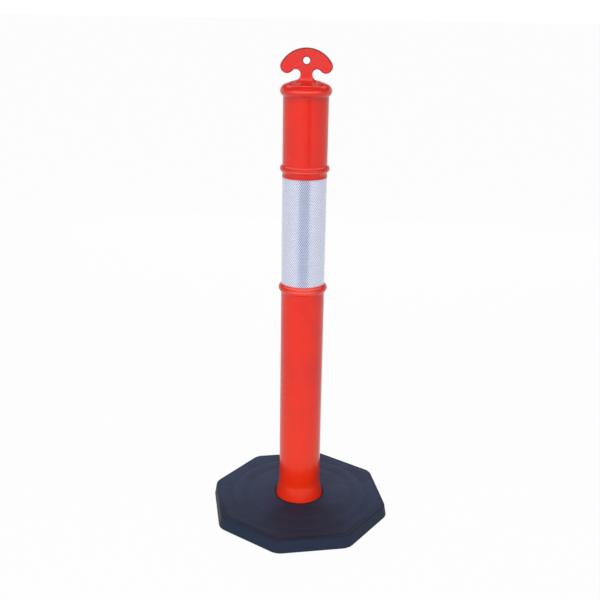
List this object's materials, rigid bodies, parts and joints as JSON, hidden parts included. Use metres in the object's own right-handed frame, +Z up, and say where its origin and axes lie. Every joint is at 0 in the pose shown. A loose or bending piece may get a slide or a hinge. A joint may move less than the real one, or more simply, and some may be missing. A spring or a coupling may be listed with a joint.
{
  "type": "chain stanchion",
  "caption": "Tall round bollard post with a flat T handle, bumper rings and a reflective sleeve, standing in a lift-off octagonal rubber base.",
  "frame": {"origin": "middle of the underside, on the ground, on the post's axis", "axes": "+Z up the post; the T handle lies in the XZ plane and faces -Y; the octagon is turned 9.5 degrees about +Z"},
  "size_m": [0.4318, 0.4318, 1.1061],
  "materials": {
    "post_shell": "satin blow-moulded polyethylene, orange-red",
    "reflective_film": "prismatic reflective film, pale silver",
    "base_rubber": "matt moulded rubber, slightly dusty"
  },
  "bodies": {
    "post": {"post_foot": "post_shell", "post_tube": "post_shell", "t_top": "post_shell", "reflective_sleeve": "reflective_film"},
    "base": {"rubber_base": "base_rubber"}
  },
  "joints": [
    {"name": "base_lift", "type": "slide", "parent": "post", "child": "base", "axis": [0, 0, 1], "range_m": [0, 1.13]}
  ]
}
